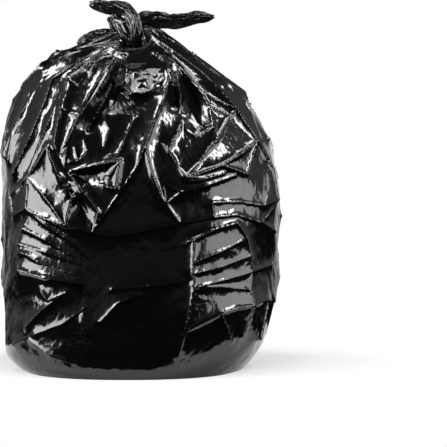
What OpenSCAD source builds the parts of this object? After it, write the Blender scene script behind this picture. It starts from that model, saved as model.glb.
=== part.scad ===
// A filled refuse sack of thin film, tied with its own mouth and standing on its flattened base.
// The film is one piece: a lumpy body, gathers that run up to the neck, one knot and two ears.
// Frame: floor at z = 0, x to the right, the front of the sack faces -y.

/* [Body] */
// Widest size of the filled body, side to side
body_w = 460; // [400:1:560]
// Widest size of the filled body, front to back
body_d = 400; // [340:1:480]
// Height of the neck, where the film enters the knot
body_h = 540; // [440:1:660]
// Squareness of the body's plan: 2 is an ellipse, and more is boxier
body_square = 2.3; // [2:0.1:3]

/* [Base] */
// Share of the body's width and depth that rests flat on the floor
base_share = 0.77; // [0.68:0.01:0.84]
// Height of the rounded edge between the floor patch and the side
base_rise = 38; // [25:1:60]
// Shift of the floor patch to the left
base_lean = 9; // [0:1:14]

/* [Neck] */
// Width of the gathered film where it enters the knot
neck_w = 44; // [32:1:60]
// Distance of the knot's axis to the left of the body's centre line
neck_left = 24; // [0:1:40]

/* [Gathers] */
// Number of gathers that reach the knot
gathers = 24; // [16:8:32]
// Depth of one gather where it is deepest
gather_depth = 10; // [5:0.5:13]
// Turn of the gathers about the neck, in degrees
gather_turn = 20; // [0:1:40]

/* [Folds] */
// Height of a full fold above the film between the folds
fold_height = 15; // [6:0.5:20]
// Distance over which a full fold falls away
fold_reach = 58; // [36:1:72]
// Height of the small creases between the folds
crumple = 1.2; // [0:0.1:3]

/* [Knot] */
// Outer size of the wrap around the neck
knot_w = 56; // [48:1:80]
// Height of the film bunched in the wrap
knot_h = 30; // [22:1:40]

/* [Ears] */
// Reach of the left ear from the knot's axis
left_ear = 58; // [46:1:90]
// Reach of the right ear from the knot's axis
right_ear = 143; // [100:1:180]
// Greatest width of an ear
ear_w = 29; // [20:1:36]
// Greatest thickness of an ear
ear_t = 20; // [14:1:26]

/* [Hidden] */

film_color = [0.035, 0.035, 0.038];
side_points = 96;      // points on one ring of the body
rings = 51;            // rings from the floor to the knot
strand_points = 12;    // points on one ring of a knot strand or ear

half_w = body_w / 2;
half_d = body_d / 2;
neck_r = neck_w / 2;
// The film's reach upwards inside the knot
neck_top = 12;
// Centre of the knot
knot = [-neck_left, 0, body_h + 5];
// Film over which a gather runs down from the knot, for long and short ones, and over which it fades
gather_reach = 250;
short_reach = 150;
gather_fade = 130;
// Film below the knot that has no folds, over which they set in, and over which the film turns
neck_smooth = 18;
neck_fade = 60;
twist_reach = 160;
// Film above the floor over which the folds set in
foot_fade = 45;
// Share of the fold height by which the folds of the sides are lowered
side_calm = 0.6;

// Outline of the body, from the floor up: height, reach to the left, reach to the right, depth of the
// back, depth of the front.
outline = [
    [0, half_w * base_share + base_lean, half_w * base_share - base_lean, half_d * base_share * 0.97, half_d * 0.92],
    [base_rise * 0.26, half_w * 0.87, half_w * 0.78, half_d * 0.83, half_d * 0.98],
    [base_rise, half_w * 0.955, half_w * 0.875, half_d * 0.88, half_d * 1.01],
    [body_h * 0.15, half_w * 0.975, half_w * 0.945, half_d * 0.94, half_d * 1.03],
    [body_h * 0.25, half_w * 0.975, half_w * 0.955, half_d * 0.96, half_d * 1.02],
    [body_h * 0.37, half_w * 0.97, half_w * 0.985, half_d * 0.97, half_d * 1.00],
    [body_h * 0.50, half_w * 0.975, half_w * 1.00, half_d * 0.96, half_d * 0.97],
    [body_h * 0.60, half_w * 0.99, half_w * 0.98, half_d * 0.93, half_d * 0.935],
    [body_h * 0.68, half_w * 0.975, half_w * 0.90, half_d * 0.87, half_d * 0.87],
    [body_h * 0.75, half_w * 0.945, half_w * 0.82, half_d * 0.80, half_d * 0.80],
    [body_h * 0.815, half_w * 0.875, half_w * 0.73, half_d * 0.71, half_d * 0.71],
    [body_h * 0.87, half_w * 0.82, half_w * 0.58, half_d * 0.60, half_d * 0.60],
    [body_h * 0.915, half_w * 0.73, half_w * 0.46, half_d * 0.47, half_d * 0.47],
    [body_h * 0.95, half_w * 0.60, half_w * 0.375, half_d * 0.35, half_d * 0.35],
    [body_h * 0.975, neck_left + neck_r * 2.9, neck_r * 4.0 - neck_left, neck_r * 2.1, neck_r * 2.1],
    [body_h * 0.99, neck_left + neck_r * 1.8, neck_r * 3.3 - neck_left, neck_r * 1.5, neck_r * 1.5],
    [body_h, neck_left + neck_r, neck_r * 2.8 - neck_left, neck_r, neck_r],
    [body_h + neck_top, neck_left + neck_r * 0.7, neck_r * 1.9 - neck_left, neck_r * 0.8, neck_r * 0.8]
];

// Folds seen from the front. Each row: share of the full reach, then the points that the fold's
// crest runs through. A point is x in percent of the body's half width, z in percent of the neck's
// height, and its share of the full fold height.
front_folds = [
    // Gathered folds of the left shoulder
    [0.6, [-16, 93, 0.5], [-43, 75, 1.1], [-53, 66, 0.5]],
    [0.6, [-26, 96, 0.4], [-52, 87, 0.7], [-55, 78, 0.9], [-63, 66, 0.7]],
    [0.4, [-52, 87, 0.7], [-45, 84, 0.4], [-33, 92, 0.3]],
    [0.6, [-31, 98, 0.4], [-61, 88, 0.6], [-86, 75, 0.5]],
    [0.7, [-56, 83, 0.4], [-82, 57, 1.1]],
    [0.6, [-68, 88, 0.3], [-97, 68, 0.4]],
    // Left side, round one high point
    [0.8, [-66, 66, 0.5], [-82, 57, 1.1], [-94, 51, 0.5]],
    [0.8, [-82, 57, 1.1], [-80, 48, 1.2], [-52, 43, 0.9], [-35, 40, 0.9], [-16, 39, 0.4]],
    [0.7, [-82, 57, 1.1], [-52, 43, 0.9]],
    [0.6, [-60, 65, 0.4], [-53, 54, 0.8], [-47, 49, 0.9], [-35, 40, 0.9]],
    [0.5, [-52, 59, 0.7], [-15, 62, 0.5]],
    [0.5, [-42, 56, 0.5], [-17, 53, 0.4]],
    // Fan of folds on the lower left
    [0.7, [-80, 48, 1.2], [-56, 39, 0.8], [-34, 29, 0.1]],
    [0.6, [-87, 38, 1.0], [-60, 33, 0.8], [-38, 28, 0.2]],
    [0.7, [-92, 28, 0.9], [-79, 27, 1.2], [-43, 26, 0.4]],
    [0.6, [-70, 20, 0.7], [-50, 18, 0.4]],
    [0.7, [-57, 15, 0.7], [-88, 8, 0.4]],
    [0.6, [-41, 16, 0.6], [-35, 3, 0.3]],
    [0.6, [-80, 8, 0.5], [-47, 3, 0.3]],
    // Centre, from the lobe under the knot down
    [0.8, [13, 92, 0.4], [20, 86, 0.9], [16, 81, 1.4], [3, 66, 1.5], [-35, 40, 0.9]],
    [0.8, [3, 66, 1.5], [17, 49, 1.2], [28, 44, 1.1], [-16, 39, 0.4]],
    [0.5, [28, 44, 1.1], [50, 45, 0.5]],
    [0.6, [28, 75, 0.5], [19, 65, 1.1], [33, 57, 1.3]],
    [0.6, [-15, 25, 0.3], [35, 25, 0.4]],
    [0.6, [-30, 13, 0.4], [-22, 20, 0.5], [-8, 22, 0.3]],
    // Long taut folds from the neck to the right shoulder
    [0.6, [22, 93, 0.9], [43, 83, 1.1], [63, 76, 0.8], [54, 68, 0.9]],
    [0.7, [22, 96, 0.9], [67, 78, 1.3], [83, 68, 1.4], [96, 59, 0.5]],
    [0.5, [47, 80, 0.5], [54, 68, 0.9], [33, 57, 1.3]],
    // Right side, round the high point of the shoulder
    [0.7, [33, 57, 1.3], [58, 61, 1.1], [83, 68, 1.4]],
    [0.6, [83, 68, 1.4], [76, 57, 0.7]],
    [0.6, [18, 49, 0.9], [29, 53, 1.1], [67, 58, 0.6]],
    [0.5, [14, 56, 0.8], [29, 53, 1.1]],
    [0.6, [50, 50, 0.5], [90, 50, 0.8]],
    // Flat patch on the right and the folds under it
    [0.6, [10, 34, 0.3], [50, 41, 0.9], [72, 45, 0.7]],
    [0.6, [37, 39, 0.9], [37, 23, 1.1], [26, 3, 0.5]],
    [0.6, [78, 43, 0.8], [79, 23, 1.1], [72, 11, 0.4]],
    [0.5, [37, 23, 1.1], [79, 25, 1.1]],
    [0.6, [79, 28, 1.0], [97, 31, 0.4]],
    [0.6, [37, 11, 0.6], [58, 14, 0.9], [77, 18, 1.0]],
    [0.5, [58, 14, 0.9], [65, 5, 0.4]]
];

// Folds of the sides and the back, in the same form, with the place round the body in degrees from
// the front and positive to the right.
other_folds = [
    // Right side
    [0.8, [56, 93, 0.6], [88, 82, 1.2], [102, 66, 1.3], [112, 48, 1.2]],
    [0.8, [88, 82, 1.2], [122, 84, 1.1], [150, 96, 0.6]],
    [0.8, [67, 68, 1.3], [102, 66, 1.3], [128, 60, 1.1]],
    [0.8, [76, 45, 0.8], [112, 48, 1.2], [128, 60, 1.1]],
    [0.8, [112, 48, 1.2], [102, 28, 1.2], [70, 20, 0.8]],
    [0.8, [102, 28, 1.2], [128, 20, 1.0], [136, 4, 0.4]],
    [0.8, [102, 28, 1.2], [92, 5, 0.4]],
    // Left side
    [0.8, [-58, 94, 0.6], [-92, 80, 1.2], [-86, 64, 1.2], [-108, 50, 1.2]],
    [0.8, [-92, 80, 1.2], [-126, 86, 1.0], [-148, 96, 0.6]],
    [0.8, [-92, 80, 1.2], [-122, 68, 1.2], [-108, 50, 1.2]],
    [0.8, [-68, 56, 1.1], [-86, 64, 1.2]],
    [0.8, [-74, 38, 0.9], [-108, 50, 1.2], [-132, 44, 1.0]],
    [0.8, [-108, 50, 1.2], [-98, 26, 1.2], [-70, 24, 0.7]],
    [0.8, [-98, 26, 1.2], [-126, 16, 1.0], [-128, 4, 0.4]],
    [0.8, [-98, 26, 1.2], [-88, 4, 0.4]],
    // Back
    [0.8, [176, 96, 1.0], [162, 77, 1.2], [166, 62, 1.3], [152, 46, 1.2], [128, 60, 1.1]],
    [0.8, [162, 77, 1.2], [138, 72, 1.2], [122, 84, 1.1]],
    [0.8, [-170, 96, 0.9], [-162, 82, 1.2], [-168, 64, 1.1], [-152, 52, 1.2], [-132, 44, 1.0]],
    [0.8, [-162, 82, 1.2], [-138, 76, 1.1], [-122, 68, 1.2]],
    [0.7, [166, 62, 1.3], [192, 64, 1.1]],
    [0.8, [152, 46, 1.2], [182, 40, 1.0], [208, 52, 1.2]],
    [0.8, [182, 40, 1.0], [172, 20, 1.1], [146, 22, 0.9], [128, 20, 1.0]],
    [0.8, [172, 20, 1.1], [206, 26, 1.1], [208, 52, 1.2]],
    [0.8, [206, 26, 1.1], [234, 16, 1.0]],
    [0.7, [146, 22, 0.9], [148, 4, 0.4]],
    [0.7, [206, 26, 1.1], [212, 4, 0.4]]
];

// Swells and hollows seen from the front: x and z of the middle, in the same percentages, share of
// the full fold height outwards, share of twice the full reach.
front_swells = [
    // Lobe under the knot and the hollow above it
    [2, 87, 1.0, 0.46], [-6, 94, -2.4, 0.5],
    // Hollows between the folds
    [32, 67, -0.7, 0.6], [36, 86, -0.6, 0.5], [-26, 76, -0.7, 0.6], [-4, 52, -0.5, 0.8],
    [-2, 20, -0.4, 0.9], [60, 36, -0.3, 0.5], [-36, 27, -0.8, 0.5], [50, 47, -0.5, 0.3]
];

function share(t) = max(0, min(1, t));
function smooth(t) = let (s = share(t)) s * s * (3 - 2 * s);
function random(n) = let (s = sin(n * 73.13 + 21.7) * 517.31) s - floor(s);
function signed_power(v, p) = sign(v) * pow(abs(v), p);
function unit(v) = v / norm(v);
// Difference of two directions in degrees, from -180 to 180
function turn(a) = a - 360 * round(a / 360);

// A smooth curve through rows of numbers, at t counted in rows
function curve(rows, t) =
    let (
        last = len(rows) - 1,
        k = min(floor(t), last - 1),
        f = t - k,
        a = rows[max(k - 1, 0)],
        b = rows[k],
        c = rows[k + 1],
        d = rows[min(k + 2, last)]
    )
    b + f * ((c - a) + f * ((2 * a - 5 * b + 4 * c - d) + f * (3 * b - a - 3 * c + d))) / 2;

// Length of film from the floor edge up to each row of the outline
function film_lengths(i = 0, total = 0) =
    i == len(outline) ? [] :
    let (
        row = outline[i],
        next = outline[min(i + 1, len(outline) - 1)],
        rise = next[0] - row[0],
        run = (abs(next[1] - row[1]) + abs(next[2] - row[2])) / 2
    )
    concat([total], film_lengths(i + 1, total + norm([rise, run])));
lengths = film_lengths();
last_row = len(outline) - 1;
film_top = lengths[last_row];
film_at_height = [for (i = [0 : last_row]) [outline[i][0], lengths[i]]];
row_at_film = [for (i = [0 : last_row]) [lengths[i], i]];
reach_left = [for (row = outline) [row[0], row[1]]];
reach_right = [for (row = outline) [row[0], row[2]]];
mm_per_degree = (body_w + body_d) * PI / 720;
// Distance between neighbours of the body's grid
grid_step = min(360 * mm_per_degree / side_points, film_top / (rings - 1));

// A place on the film is degrees round from the front and millimetres of film up from the floor.
// This is the place that is seen at x and z percent in the front view.
function front_place(x, z) =
    let (
        h = z / 100 * body_h,
        left = lookup(h, reach_left),
        right = lookup(h, reach_right),
        s = (x / 100 * half_w - (right - left) / 2) / ((right + left) / 2),
        bent = signed_power(max(-1, min(1, s)), body_square / 2)
    )
    [asin(bent), lookup(h, film_at_height)];
function round_place(a, z) = [turn(a), lookup(z / 100 * body_h, film_at_height)];

// Folds are lower where they cross the outline of the front view: front folds fade towards it, and
// the others are lowered beside it
function fading(place) = 1 - 0.7 * smooth((abs(place[0]) - 45) / 35);
function lowered(place) = side_calm * fold_height * pow(sin(place[0]), 4);

// One straight piece of a crest: its two ends, the fold's height at them, and its reach
folds = concat(
    [for (f = front_folds, i = [1 : len(f) - 2])
        let (from = front_place(f[i][0], f[i][1]), to = front_place(f[i + 1][0], f[i + 1][1]))
        [from, to, f[i][2] * fold_height * fading(from), f[i + 1][2] * fold_height * fading(to),
            f[0] * fold_reach]],
    [for (f = other_folds, i = [1 : len(f) - 2])
        let (from = round_place(f[i][0], f[i][1]), to = round_place(f[i + 1][0], f[i + 1][1]))
        [from, to, f[i][2] * fold_height - lowered(from), f[i + 1][2] * fold_height - lowered(to),
            f[0] * fold_reach]]
);
swells = [for (h = front_swells) [front_place(h[0], h[1]), h[2] * fold_height, h[3] * fold_reach * 2]];

// Folds that reach a ring at a film length
function folds_near(up) =
    [for (f = folds)
        if (up > min(f[0][1], f[1][1]) - f[4] && up < max(f[0][1], f[1][1]) + f[4]) f];

// Step in millimetres from one place to another
function film_step(from, to) = [turn(to[0] - from[0]) * mm_per_degree, to[1] - from[1]];

// Nearest point of a crest: how far away it is, the step to it, and its share of the crest's length
function to_crest(fold, place) =
    let (
        along = film_step(fold[0], fold[1]),
        from = film_step(fold[0], place),
        t = share(from * along / (along * along)),
        gap = t * along - from
    )
    [norm(gap), gap, t];

// Height of one fold at a place: a sharp crest with hollow flanks
function fold_at(fold, place) =
    let (c = to_crest(fold, place), s = share(1 - c[0] / fold[4]))
    (fold[2] + (fold[3] - fold[2]) * c[2]) * pow(s, 1.35);
function swell_at(swell, place) = swell[1] * smooth(1 - norm(film_step(swell[0], place)) / swell[2]);

// A point of the grid that is close to a crest is moved on to it, so that crests stay sharp
function on_crest(near, place) =
    let (
        found = [for (f = near) to_crest(f, place)],
        least = min([for (c = found) c[0]]),
        c = [for (c = found) if (c[0] == least) c][0],
        hold = grid_step * 0.34,
        pull = least < hold ? 1 : least < 3 * hold ? 1 - 1.5 * (least - hold) / least : 0
    )
    len(near) == 0 ? place : place + pull * [c[1][0] / mm_per_degree, c[1][1]];

// Small creases all over, from three crossing sets of waves
function creases(a, up) =
    crumple * (sin(a * 5 + up * 1.6) + sin(a * 7 - up * 1.1 + 60) + sin(a * 2 + up * 3.1 + 20)) / 2;

// One gather is a sharp crest. Every second one dies out lower down the shoulder.
function gather_at(a, up) =
    let (
        g = a * gathers / 360,
        n = floor(g),
        crest = 1 - 2 * abs(g - n - 0.5),
        even = n % 2 == 0,
        start = film_top - (even ? gather_reach : short_reach) * (0.75 + 0.5 * random(n))
    )
    gather_depth * (crest - 0.5) * (0.7 + 0.6 * random(n + 40)) * smooth((up - start) / gather_fade);

// The point of the sack at a place on the film
function film_point(place) =
    let (
        a = place[0],
        up = place[1],
        t = lookup(up, row_at_film),
        row = curve(outline, t),
        ahead = curve(outline, min(t + 0.1, last_row)),
        back = curve(outline, max(t - 0.1, 0)),
        half = (row[1] + row[2]) / 2,
        middle = (row[2] - row[1]) / 2,
        rise = ahead[0] - back[0],
        run = (ahead[1] + ahead[2] - back[1] - back[2]) / 2,
        slope = unit([rise, -run]),
        grip = smooth((film_top - up - neck_smooth) / neck_fade),
        foot = smooth(up / foot_fade),
        twist = gather_turn * smooth(1 - (film_top - up) / twist_reach),
        near = folds_near(up),
        fold = max([0, for (f = near) fold_at(f, place)]),
        swell = [for (s = swells) swell_at(s, place)] * [for (s = swells) 1],
        pleat = gather_at(a, up) * min(1, half / 34),
        out = foot * (grip * (fold + swell + creases(a, up)) + pleat),
        e = 2 / body_square,
        turned = a + twist,
        depth = row[3] + (row[4] - row[3]) * smooth(1.4 * cos(turned)),
        dir = unit([sin(turned) / half, -cos(turned) / depth])
    )
    [
        middle + half * signed_power(sin(turned), e) + out * slope[0] * dir[0],
        -depth * signed_power(cos(turned), e) + out * slope[0] * dir[1],
        max(0, row[0] + out * slope[1] * grip)
    ];

function body_ring(j) =
    let (
        up = film_top * j / (rings - 1),
        moved = j > 1 && film_top - up > 60,
        near = moved ? folds_near(up) : []
    )
    [for (i = [0 : side_points - 1])
        let (place = [i * 360 / side_points, up])
        film_point(moved ? on_crest(near, place) : place)];
body_rings = [for (j = [0 : rings - 1]) body_ring(j)];
xs = [for (ring = body_rings, p = ring) p[0]];
ys = [for (ring = body_rings, p = ring) p[1]];
// The body is fitted to its widest sizes, and the sack is centred over the floor point
fit = [body_w / (max(xs) - min(xs)), body_d / (max(ys) - min(ys)), 1];
centring = -[fit[0] * (max(xs) + min(xs)), fit[1] * (max(ys) + min(ys)), 0] / 2;

// A closed skin over rings of points, with a point in the middle of each end. Each patch is split
// along the diagonal that stands further out, so that crests stay sharp.
module skin(ring_list, lower, upper) {
    n = len(ring_list[0]);
    m = len(ring_list);
    points = concat([for (ring = ring_list) each ring], [lower, upper]);
    axis = [for (ring = ring_list) [for (p = ring) 1] * ring / n];
    faces = [
        for (j = [0 : m - 2], i = [0 : n - 1])
            let (
                k = (i + 1) % n,
                a = j * n + i, b = j * n + k, c = (j + 1) * n + k, d = (j + 1) * n + i,
                centre = (axis[j] + axis[j + 1]) / 2,
                out_ac = norm((points[a] + points[c]) / 2 - centre),
                out_bd = norm((points[b] + points[d]) / 2 - centre)
            )
            each (out_ac > out_bd ? [[a, c, b], [a, d, c]] : [[a, d, b], [b, d, c]]),
        for (i = [0 : n - 1]) [m * n, i, (i + 1) % n],
        for (i = [0 : n - 1]) [m * n + 1, (m - 1) * n + (i + 1) % n, (m - 1) * n + i]
    ];
    polyhedron(points, faces);
}

module body() {
    top = outline[last_row];
    skin(body_rings, [-base_lean, 0, 0], [(top[2] - top[1]) / 2, 0, top[0]]);
}

// Gathered film drawn out along a path. Each row is x, y, z, half width and half thickness, and side is
// the direction that the thickness lies along. Its sections are pleated all round.
function strand_rings(rows, side, turns, count) =
    let (last = len(rows) - 1)
    [for (j = [0 : count - 1])
        let (
            t = j * last / (count - 1),
            row = curve(rows, t),
            step = curve(rows, min(t + 0.05, last)) - curve(rows, max(t - 0.05, 0)),
            ahead = unit([step[0], step[1], step[2]]),
            thick = unit(side - (side * ahead) * ahead),
            wide = cross(thick, ahead)
        )
        [for (i = [0 : strand_points - 1])
            let (
                a = (i + turns * j) * 360 / strand_points,
                pleat = (i % 2 == 0 ? 1.08 : 0.84) + 0.12 * (random(i + 3 * j) - 0.5)
            )
            [row[0], row[1], row[2]]
                + pleat * row[3] * cos(a) * wide
                + pleat * row[4] * sin(a) * thick]];

module strand(rows, side, turns, count) {
    last = len(rows) - 1;
    skin(strand_rings(rows, side, turns, count),
        [rows[0][0], rows[0][1], rows[0][2]],
        [rows[last][0], rows[last][1], rows[last][2]]);
}

// The wrap of film round the neck: a barrel of slanting pleats, higher at its right
module wrap() {
    r = knot_w / 2;
    n = 26;
    // Share of the knot's height, and share of its radius
    rows = [[-0.62, 0.66], [-0.4, 0.92], [-0.1, 1], [0.2, 0.98], [0.5, 0.84], [0.78, 0.5]];
    ring_list = [for (j = [0 : len(rows) - 1])
        [for (i = [0 : n - 1])
            let (
                a = (i + 0.5 * j) * 360 / n,
                pleat = rows[j][1] * ((i % 2 == 0 ? 1 : 0.86) + 0.06 * random(i + 5 * j))
            )
            [r * pleat * sin(a), -r * 0.94 * pleat * cos(a), knot_h * rows[j][0] + 5 * pleat * sin(a)]]];
    skin(ring_list, [0, 0, knot_h * rows[0][0]], [0, 0, knot_h * rows[len(rows) - 1][0]]);
}

// The left ear comes up from the front of the wrap, bends over its top and points left
module ear_to_left() {
    w = ear_w / 2;
    t = ear_t / 2;
    r = knot_w / 2;
    rows = [
        [r * 0.61, -r * 0.43, -knot_h * 0.87, w * 0.5, t * 0.7],
        [r * 0.57, -r * 0.57, -knot_h * 0.40, w * 0.7, t * 0.9],
        [r * 0.54, -r * 0.61, knot_h * 0.13, w * 0.84, t],
        [r * 0.43, -r * 0.54, knot_h * 0.60, w * 0.9, t * 1.05],
        [r * 0.07, -r * 0.36, knot_h * 1.03, w * 0.9, t * 1.05],
        [-left_ear * 0.24, -8, knot_h * 1.22, w * 0.9, t],
        [-left_ear * 0.50, -7, knot_h * 1.29, w * 0.8, t * 0.9],
        [-left_ear * 0.72, -7, knot_h * 1.37, w * 0.66, t * 0.75],
        [-left_ear * 0.90, -8, knot_h * 1.43, w * 0.52, t * 0.55],
        [-left_ear, -8, knot_h * 1.48, w * 0.28, t * 0.32]
    ];
    strand(rows, [0, 1, 0.01], 0.25, 15);
}

// The right ear comes out from behind the left one and points right
module ear_to_right() {
    w = ear_w / 2;
    t = ear_t / 2;
    rows = [
        [right_ear * 0.03, 8, knot_h * 0.20, w * 0.55, t * 0.8],
        [right_ear * 0.11, 7, knot_h * 0.60, w * 0.55, t * 0.8],
        [right_ear * 0.20, 6, knot_h * 0.87, w * 0.56, t * 0.8],
        [right_ear * 0.29, 5, knot_h * 0.77, w * 0.80, t * 0.95],
        [right_ear * 0.385, 4, knot_h * 0.67, w * 0.97, t],
        [right_ear * 0.50, 2, knot_h * 0.59, w * 0.86, t],
        [right_ear * 0.615, 0, knot_h * 0.59, w * 0.79, t * 0.95],
        [right_ear * 0.73, -2, knot_h * 0.70, w * 0.69, t * 0.85],
        [right_ear * 0.84, -5, knot_h * 0.75, w * 0.68, t * 0.75],
        [right_ear * 0.935, -7, knot_h * 0.74, w * 0.46, t * 0.5],
        [right_ear, -8, knot_h * 0.77, w * 0.16, t * 0.2]
    ];
    strand(rows, [0, 1, 0.01], -0.2, 16);
}

// A pinched point of film: from a root in the wrap to a thin tip
module point_of_film(root, tip) {
    hull() {
        translate(root) sphere(knot_h * 0.24, $fn = 7);
        translate(tip) rotate([0, 30, 20]) cube([3.5, 6, 2.5], center = true);
    }
}

// The sack's free edge stands out of the wrap at its left, as a fan of five points
module tuft() {
    r = knot_w / 2;
    for (k = [0 : 4])
        point_of_film([-r * 0.45, -6 - k, knot_h * 0.08 * (k - 1)],
            [-r * (0.98 + 0.18 * (k % 2)), -r * 0.75 + 5 * k, knot_h * (-0.2 + 0.2 * k)]);
}

// Puffed folds of film that run down from the knot: on the left shoulder, and two behind
module loops() {
    spots = [
        [[-38, 0, -11, 10], [-74, -3, -21, 8]],
        [[-30, 30, -22, 15], [-48, 52, -44, 11]],
        [[40, 2, 0, 8], [100, -2, -35, 6]]
    ];
    for (spot = spots)
        hull()
            for (p = spot)
                translate([p[0], p[1], p[2]]) scale([1, 1, 1.1]) sphere(p[3], $fn = 9);
}

module bag() {
    color(film_color)
        translate(centring) {
            scale(fit) body();
            translate(knot) {
                wrap();
                ear_to_left();
                ear_to_right();
                tuft();
                loops();
            }
        }
}

bag();
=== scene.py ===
"""A filled refuse sack of thin black film, tied with its own mouth, on a pale studio floor.

The film is built as a fine grid round the sack: a smooth body, flat facets between sharp creases,
gathers that run up to the neck, and small wrinkles. Knot and ears are pleated strands of film.
Lengths are millimetres while the shapes are worked out, and metres in Blender.
"""
import math

import bpy
import numpy as np
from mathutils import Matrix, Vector


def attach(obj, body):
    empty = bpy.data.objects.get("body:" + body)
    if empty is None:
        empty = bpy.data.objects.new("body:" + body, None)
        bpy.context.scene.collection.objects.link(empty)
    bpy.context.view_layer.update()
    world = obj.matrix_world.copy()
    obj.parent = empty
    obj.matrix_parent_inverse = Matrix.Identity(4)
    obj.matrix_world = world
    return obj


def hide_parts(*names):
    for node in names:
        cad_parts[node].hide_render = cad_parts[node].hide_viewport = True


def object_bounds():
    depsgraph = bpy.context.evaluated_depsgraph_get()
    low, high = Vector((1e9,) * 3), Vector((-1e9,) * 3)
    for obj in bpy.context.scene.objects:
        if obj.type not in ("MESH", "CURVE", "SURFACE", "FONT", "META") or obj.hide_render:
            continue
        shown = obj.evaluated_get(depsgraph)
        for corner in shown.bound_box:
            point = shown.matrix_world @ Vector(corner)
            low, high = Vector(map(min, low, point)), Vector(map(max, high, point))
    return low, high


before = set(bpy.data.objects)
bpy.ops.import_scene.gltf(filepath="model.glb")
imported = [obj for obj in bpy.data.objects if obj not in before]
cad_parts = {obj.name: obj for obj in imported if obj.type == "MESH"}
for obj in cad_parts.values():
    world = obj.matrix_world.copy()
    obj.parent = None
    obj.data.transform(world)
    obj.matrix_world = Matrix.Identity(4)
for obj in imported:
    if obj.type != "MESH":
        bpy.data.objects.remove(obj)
cad_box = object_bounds()

MM = 0.001

# The body's width and depth, and the height of its neck, from the solid's box
EARS_RISE = 56.0      # of the left ear's tip over the neck
BODY_W = float(round((cad_box[1][0] - cad_box[0][0]) / MM))
BODY_D = float(round((cad_box[1][1] - cad_box[0][1]) / MM))
BODY_H = round(cad_box[1][2] / MM) - EARS_RISE

# The body's form, as in the part's source
SQUARE = 2.3          # how square its plan is: 2 is an ellipse
FORM_DEPTH = 0.472    # half depth without its folds, as a share of the depth
BASE_SHARE = 0.77     # the base against the body
BASE_RISE = 38.0      # height of the rounding by the floor
BASE_LEAN = 9.0       # how far the base lies to the left
NECK_R = 22.0
NECK_LEFT = 24.0      # how far the neck lies to the left
NECK_TOP = 12.0       # film of the neck inside the knot
GATHERS = 24          # large pleats round the neck
GATHER_TURN = 20.0    # degrees that they turn as they run up
TURN_REACH = 160.0    # film length over which they turn

# Photograph: a square frame, and where its camera stood
FRAME_PX = 447
CENTRE_PX = 223.5
FOCAL_PX = 1225.5
CAMERA = (135.0, -2000.0, 232.0)

# The film's grid
COLUMNS = 560
ROWS = 330
FRONT_CLOSER = 28.0   # degrees by which the columns crowd to the front
ROW_STEP = 0.1        # in rows of the outline, to take a slope
FRONT_BLEND = 1.4     # how sharply the back's depth gives way to the front's


# Small tools

def smooth(t):
    """Smooth step from 0 to 1."""
    t = np.clip(t, 0, 1)
    return t * t * (3 - 2 * t)


def ramp(x, start, over):
    """Smooth step from 0 at start to 1 after the given length."""
    return smooth((x - start) / over)


def unit(v):
    """Vectors brought to length 1."""
    return v / np.maximum(np.linalg.norm(v, axis=-1, keepdims=True), 1e-9)


def turn(a):
    """Degrees brought between -180 and 180."""
    return a - 360 * np.round(a / 360)


def curve(rows, t):
    """A smooth curve through rows of numbers, at t counted in rows."""
    rows = np.asarray(rows, float)
    t = np.asarray(t, float)
    last = len(rows) - 1
    k = np.minimum(np.floor(t).astype(int), last - 1)
    f = (t - k)[..., None]
    a, b = rows[np.maximum(k - 1, 0)], rows[k]
    c, d = rows[k + 1], rows[np.minimum(k + 2, last)]
    return b + f * ((c - a) + f * ((2 * a - 5 * b + 4 * c - d) + f * (3 * b - a - 3 * c + d))) / 2


def project(p):
    """Pixel of the photograph at which a point shows."""
    d = p[..., 1] - CAMERA[1]
    x = CENTRE_PX + FOCAL_PX * (p[..., 0] - CAMERA[0]) / d
    y = CENTRE_PX - FOCAL_PX * (p[..., 2] - CAMERA[2]) / d
    return x, y


def band_noise(seed, shape, wave, spread=0.5):
    """Even noise, periodic both ways, with about the given wavelength in cells (down, across)."""
    rng = np.random.default_rng(seed)
    spectrum = np.fft.rfft2(rng.standard_normal(shape))
    fy = np.fft.fftfreq(shape[0])[:, None] * wave[0]
    fx = np.fft.rfftfreq(shape[1])[None, :] * wave[1]
    f = np.sqrt(fy * fy + fx * fx)
    field = np.fft.irfft2(spectrum * np.exp(-((f - 1) / spread) ** 2), s=shape)
    return field / field.std()


# Smooth body

half_w, half_d = BODY_W / 2, BODY_D * FORM_DEPTH


def body_row(z, left, right, back, front):
    """A row of the outline, from shares of half the body's width and depth."""
    return [z, half_w * left, half_w * right, half_d * back, half_d * front]


def neck_row(z, left, right, deep):
    """A row of the outline by the neck, from shares of the neck's radius."""
    return [z, NECK_LEFT + NECK_R * left, NECK_R * right - NECK_LEFT, NECK_R * deep, NECK_R * deep]


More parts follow.
